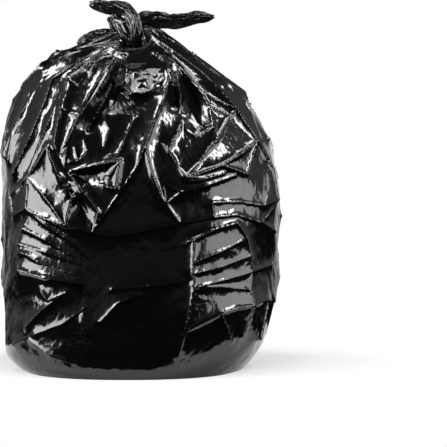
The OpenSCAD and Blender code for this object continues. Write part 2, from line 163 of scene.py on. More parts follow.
# Height, reach to the left, reach to the right, depth of the back, depth of the front
OUTLINE = np.array([
    body_row(0, BASE_SHARE, BASE_SHARE, BASE_SHARE, 0.98),
    body_row(BASE_RISE * 0.26, 0.88, 0.79, 0.86, 1.03),
    body_row(BASE_RISE, 0.965, 0.90, 0.91, 1.03),
    body_row(BODY_H * 0.15, 0.98, 0.965, 0.95, 1.03),
    body_row(BODY_H * 0.25, 0.98, 0.955, 0.97, 1.02),
    body_row(BODY_H * 0.37, 0.975, 0.99, 0.97, 1.00),
    body_row(BODY_H * 0.50, 0.98, 1.0, 0.96, 0.97),
    body_row(BODY_H * 0.60, 0.995, 0.98, 0.93, 0.935),
    body_row(BODY_H * 0.68, 0.975, 0.90, 0.87, 0.87),
    body_row(BODY_H * 0.75, 0.945, 0.82, 0.80, 0.80),
    body_row(BODY_H * 0.815, 0.875, 0.735, 0.71, 0.71),
    body_row(BODY_H * 0.87, 0.85, 0.58, 0.60, 0.60),
    body_row(BODY_H * 0.915, 0.765, 0.465, 0.47, 0.47),
    body_row(BODY_H * 0.95, 0.61, 0.38, 0.35, 0.35),
    neck_row(BODY_H * 0.975, 2.9, 4.0, 2.1),
    neck_row(BODY_H * 0.99, 1.8, 3.3, 1.5),
    neck_row(BODY_H, 1, 2.8, 1),
    neck_row(BODY_H + NECK_TOP, 0.7, 1.9, 0.8),
])
OUTLINE[0] += [0, BASE_LEAN, -BASE_LEAN, 0, 0]
rise = np.diff(OUTLINE[:, 0])
run = (np.abs(np.diff(OUTLINE[:, 1])) + np.abs(np.diff(OUTLINE[:, 2]))) / 2
LENGTHS = np.concatenate([[0], np.cumsum(np.hypot(rise, run))])
FILM_TOP = LENGTHS[-1]
MM_PER_DEGREE = (BODY_W + BODY_D) * math.pi / 720    # film round the sack


def film_up(z):
    """Film length up from the floor edge, at a height."""
    return np.interp(z, OUTLINE[:, 0], LENGTHS)


def outline_row(up):
    """Place in the rows of the outline, at a film length up."""
    return np.interp(up, LENGTHS, np.arange(len(LENGTHS)))


def smooth_body(a, up):
    """Point, and outward direction, of the smooth body at degrees round and film length up."""
    t = outline_row(up)
    row = curve(OUTLINE, t)
    ahead = curve(OUTLINE, np.minimum(t + ROW_STEP, len(LENGTHS) - 1))
    back = curve(OUTLINE, np.maximum(t - ROW_STEP, 0))
    half = (row[..., 1] + row[..., 2]) / 2
    middle = (row[..., 2] - row[..., 1]) / 2
    climb = ahead[..., 0] - back[..., 0]
    spread = (ahead[..., 1] + ahead[..., 2] - back[..., 1] - back[..., 2]) / 2
    slope = unit(np.stack([climb, -spread], -1))
    twist = GATHER_TURN * smooth(1 - (FILM_TOP - up) / TURN_REACH)
    s, c = np.sin(np.radians(a + twist)), np.cos(np.radians(a + twist))
    e = 2 / SQUARE
    depth = row[..., 3] + (row[..., 4] - row[..., 3]) * smooth(c * FRONT_BLEND)
    point = np.stack([middle + half * np.sign(s) * np.abs(s) ** e,
                      -depth * np.sign(c) * np.abs(c) ** e, row[..., 0]], -1)
    side = unit(np.stack([s / half, -c / row[..., 3]], -1))
    out = np.stack([side[..., 0] * slope[..., 0], side[..., 1] * slope[..., 0], slope[..., 1]], -1)
    return point, out


# The grid: degrees round from the front, film length up, and the smooth body under it
even = np.arange(COLUMNS) * 360.0 / COLUMNS
grid_a = even - FRONT_CLOSER * np.sin(np.radians(even))
grid_up = np.linspace(0, FILM_TOP, ROWS)
UP_STEP = grid_up[1]
AROUND, UP = np.meshgrid(grid_a, grid_up)
DOWN = FILM_TOP - UP
BASE, OUT = smooth_body(AROUND, UP)
BASE_X, BASE_Y = project(BASE)
SEEN = (OUT * (np.array(CAMERA) - BASE)).sum(-1) > 0


def place_at(px, py, h):
    """Place on the film (degrees, film length) that shows at a pixel when it stands out by h."""
    x, y = project(BASE + h * OUT)
    gap = (x - px) ** 2 + (y - py) ** 2 + np.where(SEEN, 0, np.inf)
    k = int(np.argmin(gap))
    return float(turn(AROUND.flat[k])), float(UP.flat[k])


# Creases

# Creases on the front, each a chain of points: pixel x and y in the photograph, and how far the
# crease stands out from the smooth body in millimetres
FRONT_CREASES = [
    # Left shoulder
    [(119, 57, 11), (110, 71, 15), (95, 96, 17), (79, 118, 14), (68, 142, 9), (59, 154, 3)],
    [(115, 57, 8), (104, 73, 10), (90, 96, 12), (79, 118, 14)],
    [(112, 46, 4), (103, 53, 7), (86, 66, 11), (68, 79, 15), (66, 92, 12), (61, 110, 13),
     (54, 148, 10), (59, 154, 3)],
    [(68, 79, 15), (78, 88, 7), (87, 74, 5), (95, 62, 3)],
    [(61, 110, 13), (70, 113, 8), (79, 118, 14)],
    [(104, 46, 3), (78, 62, 7), (52, 80, 8), (46, 100, 6), (30, 140, 8), (12, 176, 9)],
    [(62, 92, 6), (48, 125, 8), (27, 177, 6)],
    [(76, 48, 4), (41, 63, 7), (22, 83, 7), (8, 122, 7), (2, 156, 9)],
    [(43, 77, 3), (20, 116, 6), (5, 150, 7)],
    [(30, 92, 4), (14, 128, 6), (8, 160, 7)],
    # Left side
    [(48, 147, 10), (38, 163, 9), (27, 177, 7), (9, 196, 5), (13, 216, 5)],
    [(27, 177, 7), (27, 209, 7), (45, 218, 10), (66, 225, 14)],
    [(27, 177, 7), (45, 196, 9), (66, 225, 14)],
    [(48, 147, 10), (57, 170, 13), (66, 191, 15), (73, 197, 12)],
    [(13, 216, 5), (27, 209, 7)],
    [(66, 150, 8), (65, 165, 7), (68, 172, 5), (66, 184, 2), (75, 197, 1), (86, 211, 2), (92, 232, 8)],
    [(68, 172, 5), (92, 166, 11), (120, 161, 16)],
    [(68, 172, 5), (80, 187, 9), (90, 198, 11), (99, 211, 13), (97, 221, 11)],
    [(69, 162, 8), (78, 161, 8), (88, 152, 8), (84, 140, 6)],
    [(78, 161, 8), (75, 148, 7)],
    [(76, 175, -2), (98, 175, 3), (110, 174, 10), (120, 161, 16)],
    [(76, 175, -2), (89, 182, 1), (103, 185, 8), (116, 189, 14), (120, 161, 16)],
    [(73, 197, 12), (66, 225, 14), (78, 228, 10), (92, 232, 8), (105, 236, 8), (118, 236, 7)],
    [(106, 113, 4), (104, 118, 5), (110, 130, 6), (104, 146, 6), (108, 155, 3)],
    # Middle
    [(163, 65, 4), (166, 73, 7), (169, 81, 10), (165, 98, 18), (155, 122, 17), (145, 147, 19)],
    [(135, 118, 8), (118, 157, 8)],
    [(145, 147, 19), (137, 166, 12), (115, 200, 9), (92, 232, 8)],
    [(145, 147, 19), (152, 175, 15), (162, 198, 12), (180, 223, 9)],
    [(162, 182, 10), (165, 205, 10), (180, 192, 14)],
    [(162, 182, 10), (180, 192, 15), (205, 186, 12), (235, 175, 8)],
    [(159, 142, 8), (168, 152, 13)],
    [(112, 289, 6), (148, 286, 9), (188, 281, 8)],
    [(100, 322, 6), (118, 303, 8), (140, 294, 7)],
    [(184, 117, 6), (176, 135, 10), (168, 152, 13), (178, 167, 12), (187, 178, 21)],
    [(118, 236, 7), (150, 230, 7), (180, 223, 9), (213, 217, 9), (212, 202, 10)],
    # Right shoulder
    [(172, 57, 5), (186, 75, 5), (202, 92, 8), (209, 107, 9), (213, 125, 9), (217, 140, 12)],
    [(202, 92, 8), (220, 103, 10), (236, 110, 16)],
    [(209, 107, 9), (229, 116, 10), (236, 110, 16)],
    [(229, 116, 10), (217, 140, 12), (200, 162, 10), (187, 178, 21)],
    [(183, 118, 6), (187, 132, 6), (194, 136, 7), (211, 127, 9)],
    [(150, 34, 4), (160, 42, 6), (172, 51, 9), (200, 73, 11), (218, 90, 13), (236, 110, 16),
     (258, 140, 16), (277, 169, 12)],
    [(150, 29, 2), (172, 40, 3), (203, 62, 4), (232, 86, 4), (248, 100, 6), (262, 136, 8),
     (277, 169, 12)],
    # Right side
    [(187, 178, 21), (205, 172, 17), (222, 165, 14), (240, 154, 13), (258, 140, 16)],
    [(187, 178, 21), (205, 179, 15), (224, 174, 11)],
    [(222, 165, 14), (247, 174, 9), (258, 140, 16)],
    [(277, 169, 12), (279, 190, 11), (281, 200, 12), (263, 222, 7), (279, 232, 8)],
    [(268, 160, 6), (269, 190, 6), (265, 206, 7)],
    [(212, 202, 10), (240, 201, 7), (265, 206, 7), (281, 200, 12)],
    [(213, 217, 10), (237, 215, 9), (262, 222, 7)],
    # Patch on the right, and under it
    [(155, 252, 3), (180, 245, 6), (193, 240, 14), (212, 230, 12), (237, 222, 10), (247, 236, 8),
     (252, 255, 8), (253, 272, 8), (251, 290, 8), (254, 306, 10), (257, 340, 6)],
    [(193, 240, 14), (193, 262, 15), (193, 287, 14), (188, 320, 10), (178, 357, 5)],
    [(193, 262, 15), (220, 252, 12), (242, 240, 9)],
    [(193, 274, 14), (220, 268, 11), (252, 255, 8)],
    [(193, 287, 14), (222, 280, 11), (253, 272, 8)],
    [(253, 272, 8), (275, 265, 4)],
    [(193, 287, 14), (222, 287, 10), (251, 290, 8)],
    [(188, 330, 8), (206, 321, 9), (221, 314, 10), (236, 308, 10), (254, 306, 10)],
    [(221, 314, 10), (232, 343, 6)],
    [(242, 338, 6), (254, 306, 10), (268, 300, 7), (275, 300, 8)],
    [(270, 305, 8), (262, 340, 9)],
    # Fan of soft folds on the lower left
    [(27, 209, 7), (45, 224, 9), (75, 244, 6), (96, 266, 3)],
    [(22, 228, 8), (45, 240, 8), (74, 256, 4), (96, 268, 3)],
    [(17, 243, 8), (45, 252, 7), (72, 260, 4), (94, 270, 3)],
    [(17, 252, 9), (28, 254, 9), (38, 262, 8), (76, 274, 5)],
    [(17, 269, 11), (45, 278, 12), (80, 284, 6)],
    [(41, 290, 8), (48, 300, 8), (66, 292, 6)],
    [(66, 292, 6), (45, 308, 8), (24, 330, 6)],
    [(88, 306, 3), (62, 324, 5), (34, 334, 5), (12, 345, 5)],
    [(83, 315, 6), (87, 342, 5), (93, 370, 2)],
    [(28, 340, 5), (50, 356, 4), (76, 364, 2)],
]

# Folds between the knot and the shoulders, ridge and valley in turn, and creases of the lobe
NECK_FOLDS = [
    # Right
    [(158, 36, 2), (180, 50, 2), (203, 68, 2), (224, 88, 3)],
    [(152, 43, 1), (162, 49, 3), (172, 57, 5)],
    [(183, 78, -4), (190, 92, -7), (197, 110, -7), (202, 126, -4)],
    [(153, 51, 3), (164, 57, 6), (174, 64, 9), (178, 78, 11), (181, 98, 10), (179, 112, 5)],
    [(171, 74, 4), (173, 90, 2), (175, 108, 2)],
    # Left
    [(104, 55, 3), (95, 64, 1), (87, 71, 2)],
    [(100, 52, 1), (86, 61, 1), (76, 69, 3)],
    [(112, 84, -4), (106, 97, -6), (98, 112, -5), (88, 130, -4)],
    [(124, 57, -10), (120, 68, -8), (117, 84, -6), (113, 100, -5)],
    [(121, 44, -12), (128, 47, -22), (138, 49, -28), (149, 48, -16)],
    # On the lobe
    [(127, 64, 0), (126, 78, 1), (130, 91, 0)],
    [(143, 80, 2), (151, 72, 0), (158, 79, 1)],
    [(143, 80, 2), (150, 87, 0), (160, 89, 0)],
]

# Creases of the sides and the back: degrees round from the front, height as a percentage of the
# neck's height, and how far the crease stands out in millimetres
OTHER_CREASES = [
    [(56, 93, 8), (88, 82, 16), (102, 66, 18), (112, 48, 16)],
    [(88, 82, 16), (122, 84, 15), (150, 96, 8)],
    [(76, 68, 16), (102, 66, 18), (128, 60, 15)],
    [(86, 45, 10), (112, 48, 16), (128, 60, 15)],
    [(112, 48, 16), (102, 28, 16), (80, 20, 10)],
    [(102, 28, 16), (128, 20, 13), (136, 4, 5)],
    [(102, 28, 16), (92, 5, 5)],
    [(-58, 94, 8), (-92, 80, 16), (-98, 64, 16), (-108, 50, 16)],
    [(-92, 80, 16), (-126, 86, 13), (-148, 96, 8)],
    [(-92, 80, 16), (-122, 68, 16), (-108, 50, 16)],
    [(-84, 38, 10), (-108, 50, 16), (-132, 44, 13)],
    [(-108, 50, 16), (-98, 26, 16), (-82, 22, 8)],
    [(-98, 26, 16), (-126, 16, 13), (-128, 4, 5)],
    [(-98, 26, 16), (-88, 4, 5)],
    [(176, 96, 12), (162, 77, 16), (166, 62, 18), (152, 46, 16), (128, 60, 15)],
    [(162, 77, 16), (138, 72, 16), (122, 84, 15)],
    [(-170, 96, 11), (-162, 82, 16), (-168, 64, 15), (-152, 52, 16), (-132, 44, 13)],
    [(-162, 82, 16), (-138, 76, 15), (-122, 68, 16)],
    [(166, 62, 18), (179, 66, 9), (-168, 64, 15)],
    [(152, 46, 16), (178, 40, 13), (-152, 52, 16)],
    [(178, 40, 13), (172, 20, 15), (146, 22, 12), (128, 20, 13)],
    [(172, 20, 15), (-154, 26, 15), (-152, 52, 16)],
    [(-154, 26, 15), (-126, 16, 13)],
    [(146, 22, 12), (148, 4, 5)],
    [(-154, 26, 15), (-148, 4, 5)],
    [(135, 97, 6), (138, 88, 10), (140, 80, 9), (138, 72, 16)],
    [(160, 97, 6), (158, 88, 9), (162, 77, 16)],
    [(-176, 94, 8), (-178, 80, 6), (179, 66, 9)],
    [(-152, 92, 8), (-146, 84, 8), (-138, 76, 15)],
    [(-136, 96, 6), (-130, 91, 9), (-126, 86, 13)],
    [(152, 46, 16), (150, 34, 6), (146, 22, 12)],
    [(178, 40, 13), (-172, 32, 5), (-154, 26, 15)],
    [(128, 60, 15), (133, 48, 7), (136, 34, 5), (128, 20, 13)],
    [(-132, 44, 13), (-138, 32, 6), (-126, 16, 13)],
    [(-108, 50, 16), (-114, 36, 7), (-126, 16, 13)],
    [(138, 72, 16), (152, 68, 10), (166, 62, 18)],
    [(-122, 68, 16), (-134, 58, 8), (-152, 52, 16)],
    [(88, 82, 16), (96, 74, 9), (102, 66, 18)],
    [(-92, 80, 16), (-86, 72, 8), (-98, 64, 16)],
    [(112, 48, 16), (120, 38, 8), (128, 20, 13)],
    [(160, 12, 8), (172, 20, 15), (-170, 10, 7)],
]


# Share by which creases lie lower, from how many degrees round, and over how many: those of the
# front near its edge, and the others on the back, which also lie lower at the sack's sides
EDGE_SHARE, EDGE_FROM, EDGE_OVER = 0.7, 45, 35
BACK_SHARE, BACK_FROM, BACK_OVER = 0.25, 90, 50
SIDE_DOWN = 9.5       # in millimetres
CREASE_STEP = 0.7     # millimetres between the places at which a crease marks the grid
HELD_ROWS = 5         # rows at the neck that don't move
STRETCH_ROUNDS = 220
STRETCH_SPEED = 0.996    # share of an error that a plain round leaves, for the over-relaxation


def side_share(a):
    """1 at the sack's left and right, 0 in front and behind."""
    return np.abs(np.sin(np.radians(a))) ** 4


def crease_places():
    """Corners of all creases: degrees round, film length up, and height over the body."""
    chains = []
    for chain in FRONT_CREASES + NECK_FOLDS:
        corners = []
        for px, py, h in chain:
            a, up = place_at(px, py, h)
            corners.append((a, up, h * float(1 - EDGE_SHARE * ramp(abs(a), EDGE_FROM, EDGE_OVER))))
        chains.append(corners)
    for chain in OTHER_CREASES:
        corners = []
        for a, z, h in chain:
            low = h * (1 - BACK_SHARE * float(ramp(abs(a), BACK_FROM, BACK_OVER)))
            up = float(film_up(z * BODY_H / 100))
            corners.append((float(a), up, low - SIDE_DOWN * float(side_share(a))))
        chains.append(corners)
    return chains


def lay_creases():
    """Grid points that lie on a crease, and where they lie: straight from corner to corner."""
    fixed = np.zeros(AROUND.shape, bool)
    where = BASE.copy()
    wide_even = np.arange(-COLUMNS, 2 * COLUMNS) * 360.0 / COLUMNS
    wide_a = wide_even - FRONT_CLOSER * np.sin(np.radians(wide_even))
    for chain in CHAINS:
        for (a0, u0, h0), (a1, u1, h1) in zip(chain, chain[1:]):
            span = float(turn(a1 - a0))
            ends, out = smooth_body(np.array([a0, a0 + span]), np.array([u0, u1]))
            ends = ends + out * np.array([[h0], [h1]])
            steps = max(2, int(np.linalg.norm(ends[1] - ends[0]) / CREASE_STEP))
            t = np.linspace(0, 1, steps)
            col = np.interp((a0 + span * t) % 360, wide_a, wide_even) * COLUMNS / 360
            j = np.round(col).astype(int) % COLUMNS
            i = np.clip(np.round((u0 + (u1 - u0) * t) / UP_STEP).astype(int), 1, ROWS - 2)
            fixed[i, j] = True
            where[i, j] = ends[0] + (ends[1] - ends[0]) * t[:, None]
    return fixed, where


def crest_gap(p):
    """Distance from points to the nearest crease, and that crease's height there."""
    gap = np.full(p.shape[:2], np.inf)
    height = np.zeros(p.shape[:2])
    for chain in CHAINS:
        for (a0, u0, h0), (a1, u1, h1) in zip(chain, chain[1:]):
            ends, out = smooth_body(np.array([a0, a1]), np.array([u0, u1]))
            ends = ends + out * np.array([[h0], [h1]])
            along = ends[1] - ends[0]
            t = np.clip((p - ends[0]) @ along / max(along @ along, 1e-6), 0, 1)
            d = np.linalg.norm(p - ends[0] - t[..., None] * along, axis=-1)
            near = d < gap
            gap = np.where(near, d, gap)
            height = np.where(near, h0 + (h1 - h0) * t, height)
    return gap, height


CHAINS = crease_places()
ON_CREASE, CREASE_AT = lay_creases()


def stretched(aim, hold):
    """Film drawn tight over the creases; between them it leans towards aim, by hold."""
    across = (np.roll(grid_a, -1) - grid_a) % 360 * MM_PER_DEGREE
    wx = (1 / (across * np.roll(across, 1)))[None, :, None]
    wy = 1 / UP_STEP ** 2
    fixed = ON_CREASE.copy()
    fixed[0] = fixed[-HELD_ROWS:] = True
    at = np.where(ON_CREASE[..., None], CREASE_AT, BASE)
    p = np.where(fixed[..., None], at, aim)
    free = ~fixed[1:-1, :, None]
    k = hold[1:-1, :, None]
    before = p.copy()
    speed = 1.0
    for _ in range(STRETCH_ROUNDS):
        mid = (wx * (np.roll(p, 1, 1) + np.roll(p, -1, 1))[1:-1] + wy * (p[:-2] + p[2:])
               + k * aim[1:-1]) / (2 * wx + 2 * wy + k)
        after = p.copy()
        after[1:-1] = np.where(free, before[1:-1] + speed * (mid - before[1:-1]), p[1:-1])
        before, p = p, after
        # Over-relaxation that grows towards its best value
        speed = 1 / (1 - (STRETCH_SPEED ** 2 if speed > 1 else STRETCH_SPEED ** 2 * 2) * speed / 4)
    return p


# The film's shape

# Soft patches of the front: middle x and y in the photograph, and half width and half height.
# Calm film is nearly smooth, busy film has many facets, the flat one is a smooth sheet that
# stands out, and the still and the slack one have hardly any pleats.
CALM_PATCHES = [(148, 300, 46, 84), (55, 356, 60, 24), (150, 200, 30, 34), (100, 262, 16, 22)]
BUSY_PATCHES = [(82, 148, 14, 12), (95, 48, 22, 8), (230, 165, 26, 14), (45, 190, 22, 24),
                (150, 40, 40, 10)]
FLAT_PATCH = (222, 262, 26, 28)
STILL_PATCH = (92, 86, 28, 34)
SLACK_PATCH = (190, 110, 22, 30)
PATCH_EDGE = 1.5      # where a patch ends, in its own half widths

# Millimetres by which the film stands out between its creases: ordinary, calm, flat, and at the
# sack's sides
SAG = -7.0
CALM_OUT = 6.0
FLAT_OUT = 10.0
SIDES_OUT = 2.5

# How far a crease lifts the film beside it, in millimetres, and how much less in calm film and
# at the sack's sides
LIFT_REACH = 75
CALM_LESS = 45
SIDES_LESS = 25

# Where forms begin, and over how many millimetres of film they grow: down from the neck, and
# up from the foot
NECK_SAG = (30, 60)
NECK_FACETS = (60, 120)
NECK_SLACK = (20, 180)
FOOT_SAG = (0, 110)
FOOT_LIFT = (20, 80)
FOOT_FORMS = (0, 40)
FOOT_RIMS = (0, 70)

# How strong the large facets are: everywhere, less in the still patch, and more on the back
PLAIN_BUSY = 0.18
STILL_LESS = 0.1
REAR_BUSY = 1.3

# Lobe that hangs over from under the knot: its middle in the photograph, and its sides as bearing
# (0 down, 90 right), distance from the middle in pixels, and steepness
LOBE_AT = (141, 76)
LOBE_SIDES = [(-8, 20, 0.22), (24, 21, 0.16), (66, 24, 0.12), (98, 24, 0.10), (140, 20, 0.24),
              (182, 15, 0.3), (222, 21, 0.24), (262, 24, 0.14), (300, 25, 0.14), (331, 22, 0.16)]
# Its upright ridge: place, height, and the fall to the left and right in millimetres a pixel.
# From a pixel row on down it stands out more and more. All of it hangs down a little.
LOBE_RIDGE_X = 134
LOBE_RIDGE = 19.0
LOBE_FALLS = (0.65, 0.4)
LOBE_SWELL_Y = 76
LOBE_SWELL = 0.3
LOBE_DROP = 6.0
LOBE_SMOOTH_X = 132   # to the right of this pixel column it is crumpled less

# Facets of crushed film: random seed, folds, steepness, and the longest wave in millimetres
LARGE_FACETS = ((3, 13, 0.09, 110), (8, 15, 0.06, 60), (19, 18, 0.07, 32))
LOBE_FACETS = (43, 16, 0.30, 26)
FINE_FACETS = (29, 20, 0.075, 18)

# Pleats by the neck: how many round it, depth, and reach down the film in millimetres
PLEAT_SETS = ((GATHERS, 3.5, 120), (61, 1.4, 150))
PLEAT_SEED = 11
PLEAT_WANDER = 6.4    # how far they wander to the side, in degrees times their count
PLEAT_LEVELS = (0.4, 1.3)      # range of their depths
PLEAT_REACHES = (0.4, 1.15)    # range of their reaches
PLEAT_GIRTH = 130     # where the sack is narrower than this, pleats are shallower

# Sharp rims along the creases
RIM = 3.2
RIM_WIDTH = 3.6
RIM_CREST = 10        # height of a crease with a whole rim
RIM_CLEAR = 9         # small facets begin this far from a crease
RIM_LIMITS = (-0.3, 1.4)

# Relaxation, coarse to fine: grid step, slack of the film, rounds, pull towards the form, first
# ruffle in millimetres, and smoothing
RELAX_STAGES = ((4, 0.0015, 60, 0.004, 1.0, 0.004), (2, 0.002, 50, 0.010, 0.4, 0.010),
                (1, 0.003, 30, 0.015, 0.1, 0.012))
RELAX_SEED = 70
ALONG_STIFF, DIAGONAL_STIFF = 1.0, 0.6


def patch(px, py, wide, tall):
    """A soft patch round a pixel of the photograph, on the front only."""
    d = np.hypot((BASE_X - px) / wide, (BASE_Y - py) / tall)
    return np.where(SEEN, smooth(PATCH_EDGE - d), 0.0)


def patches(places, start=0.0):
    """The sum of soft patches, added to start."""
    return sum((patch(*place) for place in places), start)


def blurred(field, wave):
    """Low waves of a field only; it closes round its columns and is mirrored up and down."""
    tall = np.concatenate([field, field[::-1]])
    fy = np.fft.fftfreq(tall.shape[0])[:, None] * wave / UP_STEP
    fx = np.fft.rfftfreq(tall.shape[1])[None, :] * wave / (360 / COLUMNS * MM_PER_DEGREE)
    keep = np.exp(-4 * (fx ** 2 + fy ** 2))
    return np.fft.irfft2(np.fft.rfft2(tall) * keep, s=tall.shape)[:len(field)]


def crumpled(seed, folds, steep, wave):
    """Straight-edged facets, as in film that was crushed once: space folded over random planes."""
    rng = np.random.default_rng(seed)
    q = BASE * np.array([1, 1, 0.9])
    for _ in range(folds):
        n = unit(rng.standard_normal(3))
        d = q @ n
        # The fold lies in the middle half of the points, and every seventh point is enough
        c = np.quantile(d[::7, ::7], rng.uniform(0.25, 0.75))
        q = q + 2 * np.maximum(c - d, 0)[..., None] * n
    h = q @ unit(rng.standard_normal(3)) * steep
    return h - blurred(h, wave)


def long_pleats(around, share):
    """A share by which pleats reach further down, between 8 and 110 degrees round."""
    return share * ramp(around, 8, 30) * smooth((110 - around) / 40)


def gathered():
    """Pleats that run down from the neck, sharp at the crest and at the valley."""
    rng = np.random.default_rng(PLEAT_SEED)
    pleats = np.zeros(AROUND.shape)
    around = turn(AROUND)
    long_side = 1 + long_pleats(around, 0.55) + long_pleats(-around, 0.35)
    for count, depth, reach in PLEAT_SETS:
        wander = PLEAT_WANDER * band_noise(count, AROUND.shape, (110, 90)) / count
        g = ((AROUND + wander) % 360) * count / 360
        n = np.floor(g).astype(int) % count
        crest = 1 - 2 * np.abs(g - np.floor(g) - 0.5)
        level = rng.uniform(*PLEAT_LEVELS, count)[n]
        start = rng.uniform(*PLEAT_REACHES, count)[n] * reach * long_side
        pleats += depth * level * (crest - 0.5) * smooth((start - DOWN) / (start * 0.8))
    row = curve(OUTLINE, outline_row(UP))
    return pleats * np.minimum(1, (row[..., 1] + row[..., 2]) / PLEAT_GIRTH)


def lobe_share():
    """1 on the lobe under the knot and 0 off it, with straight edges."""
    lobe = np.where(SEEN, 1.0, 0.0)
    for bearing, far, steep in LOBE_SIDES:
        s, c = math.sin(math.radians(bearing)), math.cos(math.radians(bearing))
        along = (BASE_X - LOBE_AT[0]) * s + (BASE_Y - LOBE_AT[1]) * c
        lobe = np.minimum(lobe, np.clip((far - along) * steep, 0, 1))
    return lobe


def lobe_reach():
    """How far the lobe stands out towards the camera: a ridge that swells downwards."""
    beside = BASE_X - LOBE_RIDGE_X
    fall = np.where(beside < 0, -beside * LOBE_FALLS[0], beside * LOBE_FALLS[1])
    return np.maximum(LOBE_RIDGE - fall, 0) + LOBE_SWELL * np.maximum(BASE_Y - LOBE_SWELL_Y, 0)


def sculpt():
    """The film's large forms, how loose the film is, and distance to and height of creases."""
    calm = np.clip(patches(CALM_PATCHES), 0, 1)
    flat = patch(*FLAT_PATCH)
    still = patch(*STILL_PATCH)
    sides = side_share(AROUND)
    # 1 on the back, and 0 on the front
    rear = smooth(0.3 - 1.6 * np.cos(np.radians(AROUND)))

    # Stretched film between the creases
    inset = SAG * (1 - calm) * (1 - sides) * (1 - 0.4 * rear) * ramp(DOWN, *NECK_SAG)
    inset = inset + CALM_OUT * calm + SIDES_OUT * sides
    inset = (inset + (FLAT_OUT - inset) * flat) * ramp(UP, *FOOT_SAG)
    reach = (LIFT_REACH - CALM_LESS * calm - SIDES_LESS * sides) * (1 - 0.6 * flat)
    reach = reach * (0.3 + 0.7 * ramp(UP, *FOOT_LIFT))
    p = stretched(BASE + OUT * inset[..., None], 1 / reach ** 2)
    gap, crest = crest_gap(p)

    # Lobe that hangs over
    lobe = lobe_share()
    p[..., 1] -= lobe * lobe_reach()
    p[..., 2] -= LOBE_DROP * lobe

    # Facets and pleats
    busy = patches(BUSY_PATCHES, PLAIN_BUSY - STILL_LESS * still) + sides
    busy = np.clip(busy, 0, 1) + REAR_BUSY * rear
    facets = sum(crumpled(*kind) for kind in LARGE_FACETS) * busy
    pleats = gathered() * (1 - 0.9 * np.clip(lobe * 2 + patch(*SLACK_PATCH) + still, 0, 1))
    out = facets * (1 - 0.8 * calm) * (0.15 + 0.85 * ramp(DOWN, *NECK_FACETS)) + pleats
    crushed = crumpled(*LOBE_FACETS) * np.minimum(1, 2 * lobe)
    out = out + crushed * (1 - 0.7 * ramp(BASE_X, LOBE_SMOOTH_X, 8))
    p += OUT * (ramp(UP, *FOOT_FORMS) * out)[..., None]
    p[..., 2] = np.maximum(p[..., 2], 0)
    p[0, :, 2] = 0

    loose = (1 - 0.75 * calm - 0.6 * flat + 0.8 * lobe) * (0.35 + 0.65 * ramp(DOWN, *NECK_SLACK))
    return p, loose, gap, crest * (1 - 0.65 * flat) * ramp(UP, *FOOT_RIMS)


def pair_groups(rows, cols):
    """Neighbours of a grid that closes round its columns, in groups that share no point."""
    i, j = np.meshgrid(np.arange(rows), np.arange(cols), indexing="ij")
    k = i * cols + j

    def group(mask, di, dj):
        mask = mask & (i + di < rows)
        a = k[mask]
        b = ((i + di) * cols + (j + dj) % cols)[mask]
        return a, b

    along = [group(j % 2 == 0, 0, 1), group(j % 2 == 1, 0, 1),
             group(i % 2 == 0, 1, 0), group(i % 2 == 1, 1, 0)]
    diagonal = [group(i % 2 == 0, 1, 1), group(i % 2 == 1, 1, 1),
                group(i % 2 == 0, 1, -1), group(i % 2 == 1, 1, -1)]
    return along, diagonal


def relax(shape, aim, out, slack, held, rounds, pull, seed, ruffle, soft):
    """Lets the film buckle: it keeps its own lengths, a little longer than the form under it."""
    rows, cols = aim.shape[:2]
    goal = aim.reshape(-1, 3).astype(np.float32)
    p = shape.reshape(-1, 3).astype(np.float32)
    noise = band_noise(seed, (rows, cols), (5, 5), 0.8).reshape(-1, 1) * ruffle
    free = (1 - held).reshape(-1, 1).astype(np.float32)
    p = p + (out.reshape(-1, 3) * noise).astype(np.float32) * free
    loose = slack.reshape(-1)
    groups = []
    for pairs, stiff in zip(pair_groups(rows, cols), (ALONG_STIFF, DIAGONAL_STIFF)):
        for a, b in pairs:
            rest = np.linalg.norm(goal[b] - goal[a], axis=1) * (1 + (loose[a] + loose[b]) / 2)
            wa, wb = free[a], free[b]
            share = stiff / np.maximum(wa + wb, 1)
            groups.append((a, b, rest.astype(np.float32), wa * share, wb * share))
    for _ in range(rounds):
        p += pull * free * (goal - p)
        q = p.reshape(rows, cols, 3)
        lap = (np.roll(q, 1, 1) + np.roll(q, -1, 1)) / 2 - q
        lap[1:-1] += (q[:-2] + q[2:]) / 2 - q[1:-1]
        p += soft * free * lap.reshape(-1, 3)
        for a, b, rest, ka, kb in groups:
            d = p[b] - p[a]
            length = np.sqrt(np.einsum("ij,ij->i", d, d)) + 1e-6
            d *= ((length - rest) / length)[:, None]
            p[a] += ka * d
            p[b] -= kb * d
        p[:, 2] = np.maximum(p[:, 2], 0)
    return p.reshape(rows, cols, 3).astype(float)


def finer(field):
    """A coarse field of displacements, back on the full grid."""
    r = np.linspace(0, field.shape[0] - 1, ROWS)
    c = np.linspace(0, field.shape[1], COLUMNS, endpoint=False)
    i, j = np.minimum(r.astype(int), field.shape[0] - 2), c.astype(int)
    fr, fc = (r - i)[:, None, None], (c - j)[None, :, None]
    right = (j + 1) % field.shape[1]
    top = field[i][:, j] * (1 - fc) + field[i][:, right] * fc
    low = field[i + 1][:, j] * (1 - fc) + field[i + 1][:, right] * fc
    return top * (1 - fr) + low * fr


